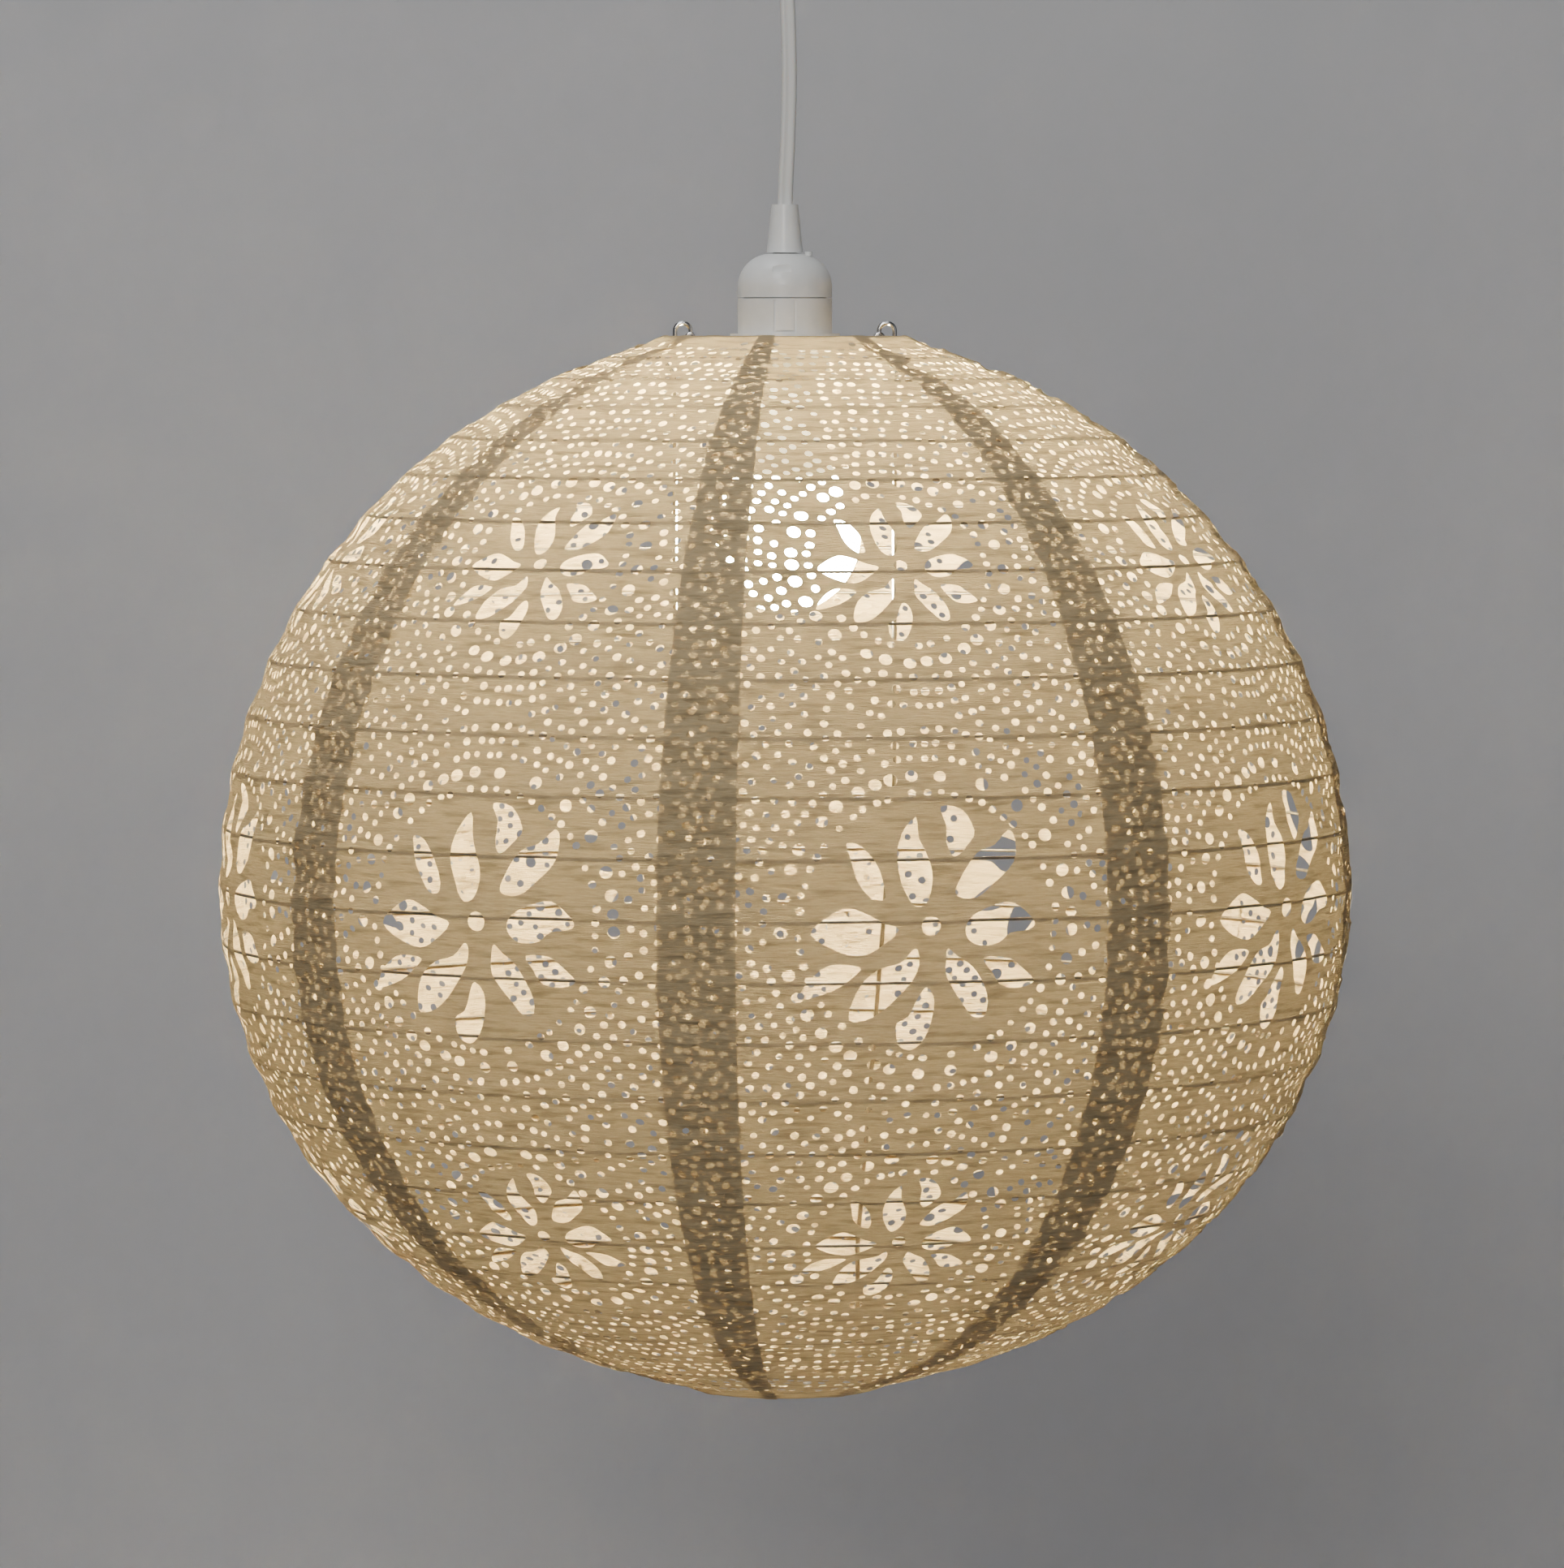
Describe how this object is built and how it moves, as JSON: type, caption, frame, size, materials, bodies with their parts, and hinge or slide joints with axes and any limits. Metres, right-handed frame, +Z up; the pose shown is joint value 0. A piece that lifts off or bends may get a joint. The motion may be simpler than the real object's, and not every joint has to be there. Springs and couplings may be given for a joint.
{
  "type": "pierced paper globe pendant lamp",
  "caption": "Globe pendant lamp: a pierced cotton-paper cover on wire hoops, held open by a wire expander under a lamp holder on a short flex from a ceiling cup.",
  "frame": {"origin": "on the ceiling plane, in the middle of the ceiling bracket", "axes": "+Z up, out of the ceiling bracket's top face; X to the right along the expander's two legs; +Y to the back"},
  "size_m": [0.482, 0.482, 0.6906],
  "materials": {
    "zinc_steel": "zinc plated",
    "white_plastic": "moulded, satin gloss",
    "ivory_plastic": "moulded, satin",
    "clear_plastic": "milky",
    "white_flex": "smooth soft sheath",
    "bush_rubber": "matt",
    "ceramic_core": "unglazed",
    "brass": "rolled",
    "opal_glass": "opal, lit",
    "lamp_cap": "rolled",
    "black_glass": "glossy",
    "bright_wire": "bright drawn wire",
    "hoop_wire": "drawn wire",
    "cotton_paper": "cotton rag paper, pierced"
  },
  "bodies": {
    "ceiling_fitting": {"ceiling_bracket": "zinc_steel", "ceiling_cup": "white_plastic", "cord_gland": "white_plastic", "gland_nut": "white_plastic", "gland_screw": "white_plastic", "clamp_bar": "white_plastic", "clamp_screws": "zinc_steel", "terminal_block": "clear_plastic", "cord_tail": "white_flex"},
    "bush": {"cord_bush": "bush_rubber"},
    "pendant": {"cord": "white_flex", "cord_grip": "white_plastic", "holder_cap": "white_plastic", "holder_skirt": "white_plastic", "socket_core": "ceramic_core", "thread_shell": "brass", "centre_contact": "brass"},
    "shade_ring": {"shade_ring": "ivory_plastic"},
    "lamp": {"bulb_glass": "opal_glass", "bulb_cap": "lamp_cap", "bulb_insulator": "black_glass", "bulb_tip": "lamp_cap"},
    "shade": {"expander_frame": "bright_wire", "top_ring": "bright_wire", "bottom_ring": "bright_wire", "hoop_01": "hoop_wire", "hoop_02": "hoop_wire", "hoop_03": "hoop_wire", "hoop_04": "hoop_wire", "hoop_05": "hoop_wire", "hoop_06": "hoop_wire", "hoop_07": "hoop_wire", "hoop_08": "hoop_wire", "hoop_09": "hoop_wire", "hoop_10": "hoop_wire", "hoop_11": "hoop_wire", "hoop_12": "hoop_wire", "hoop_13": "hoop_wire", "hoop_14": "hoop_wire", "hoop_15": "hoop_wire", "hoop_16": "hoop_wire", "hoop_17": "hoop_wire", "hoop_18": "hoop_wire", "hoop_19": "hoop_wire", "hoop_20": "hoop_wire", "hoop_21": "hoop_wire", "hoop_22": "hoop_wire", "hoop_23": "hoop_wire", "hoop_24": "hoop_wire", "hoop_25": "hoop_wire", "gore_1": "cotton_paper", "gore_2": "cotton_paper", "gore_3": "cotton_paper", "gore_4": "cotton_paper", "gore_5": "cotton_paper", "gore_6": "cotton_paper", "gore_7": "cotton_paper", "gore_8": "cotton_paper"},
    "leg_left": {"leg_left": "bright_wire"},
    "leg_right": {"leg_right": "bright_wire"}
  },
  "joints": [
    {"name": "swing_front_back", "type": "hinge", "parent": "ceiling_fitting", "child": "bush", "pos_m": [0, 0, -0.0714], "axis": [1, 0, 0], "range_deg": [-10, 10]},
    {"name": "swing_left_right", "type": "hinge", "parent": "bush", "child": "pendant", "pos_m": [0, 0, -0.0714], "axis": [0, 1, 0], "range_deg": [-10, 10]},
    {"name": "shade_turn", "type": "hinge", "parent": "pendant", "child": "shade", "pos_m": [0, 0, -0.24335], "axis": [0, 0, 1], "continuous": true},
    {"name": "shade_ring_unscrew", "type": "slide", "parent": "pendant", "child": "shade_ring", "axis": [0, 0, -1], "range_m": [0, 0.009]},
    {"name": "lamp_unscrew", "type": "slide", "parent": "pendant", "child": "lamp", "axis": [0, 0, -1], "range_m": [0, 0.032]},
    {"name": "leg_left_squeeze", "type": "hinge", "parent": "shade", "child": "leg_left", "pos_m": [-0.0399, 0, -0.24235], "axis": [0, -1, 0], "range_deg": [0, 4], "stiffness_Nm_per_rad": 0.05},
    {"name": "leg_right_squeeze", "type": "hinge", "parent": "shade", "child": "leg_right", "pos_m": [0.0399, 0, -0.24235], "axis": [0, 1, 0], "range_deg": [0, 4], "stiffness_Nm_per_rad": 0.05}
  ]
}
